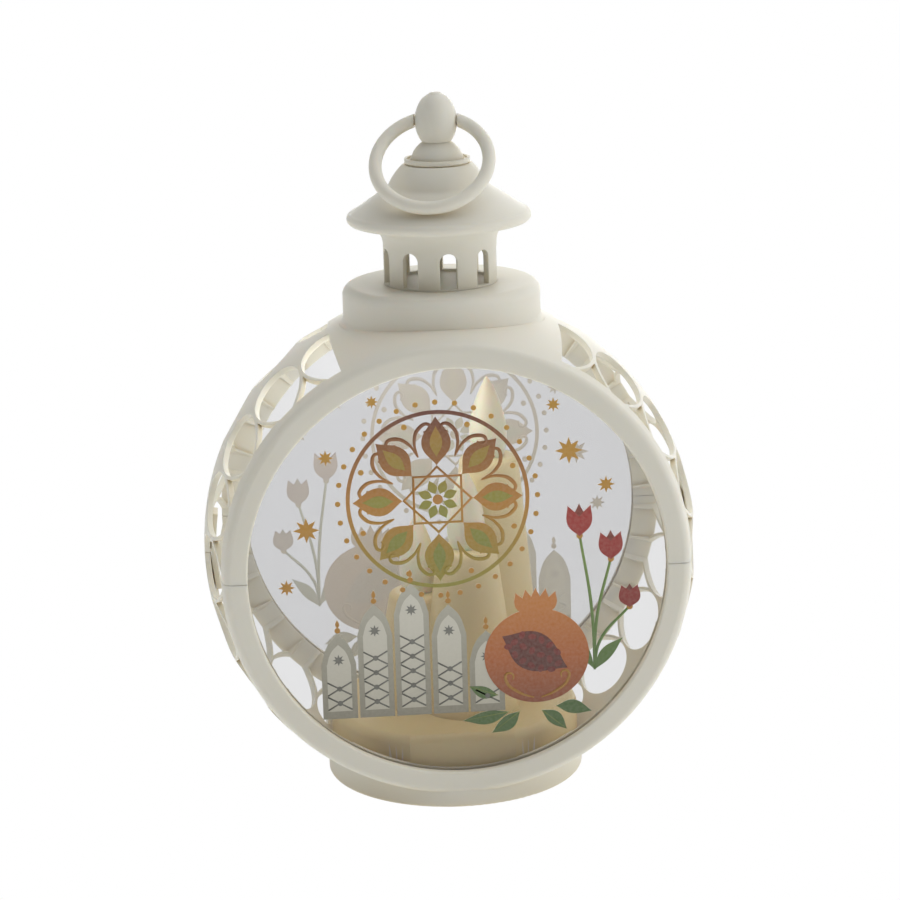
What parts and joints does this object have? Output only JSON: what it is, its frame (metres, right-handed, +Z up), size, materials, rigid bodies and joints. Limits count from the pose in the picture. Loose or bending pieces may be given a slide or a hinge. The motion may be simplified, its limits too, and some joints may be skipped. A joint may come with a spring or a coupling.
{
  "type": "fanous lantern",
  "caption": "Round tabletop fanous lantern with a pierced barrel drum, printed clear panes, cupola, swinging carry ring and battery candles inside.",
  "frame": {"origin": "middle of the foot, on the plane it stands on", "axes": "+Z up, the front pane faces -Y, +X to the right seen from the front"},
  "size_m": [0.1388, 0.074, 0.195],
  "materials": {
    "cream_shell": "satin",
    "clear_pane": "clear and glossy",
    "candle_wax": "matt",
    "milky_flame": "milky, lets light through",
    "lamp_resin": "clear resin",
    "wire_cover": "smooth",
    "board_green": "matt",
    "plain_steel": "plain",
    "switch_black": "matt"
  },
  "bodies": {
    "lantern": {"upper_frame": "cream_shell", "lower_frame": "cream_shell", "front_pane": "clear_pane", "rear_pane": "clear_pane", "arcade": "cream_shell", "roof": "cream_shell", "finial": "cream_shell", "candle_group": "candle_wax", "flame_tall": "milky_flame", "flame_medium": "milky_flame", "flame_short": "milky_flame", "leds": "lamp_resin", "led_wires": "wire_cover", "led_board": "board_green", "base_plate": "cream_shell", "base_screws": "plain_steel", "button_cells": "plain_steel", "flat_contact": "plain_steel", "leaf_contact": "plain_steel", "switch_body": "switch_black", "switch_wires": "wire_cover"},
    "carry_ring": {"handle_ring": "cream_shell"},
    "door": {"battery_door": "cream_shell"},
    "switch_knob": {"switch_slider": "switch_black"}
  },
  "joints": [
    {"name": "ring_swing", "type": "hinge", "parent": "lantern", "child": "carry_ring", "pos_m": [0, 0, 0.18715], "axis": [-0.9799, 0.1994, 0], "range_deg": [0, 266.6]},
    {"name": "door_swing", "type": "hinge", "parent": "lantern", "child": "door", "pos_m": [-0.0122, 0, 0.001], "axis": [0, 1, 0], "range_deg": [0, 95]},
    {"name": "switch_slide", "type": "slide", "parent": "lantern", "child": "switch_knob", "axis": [0, 1, 0], "range_m": [0, 0.0024]}
  ]
}
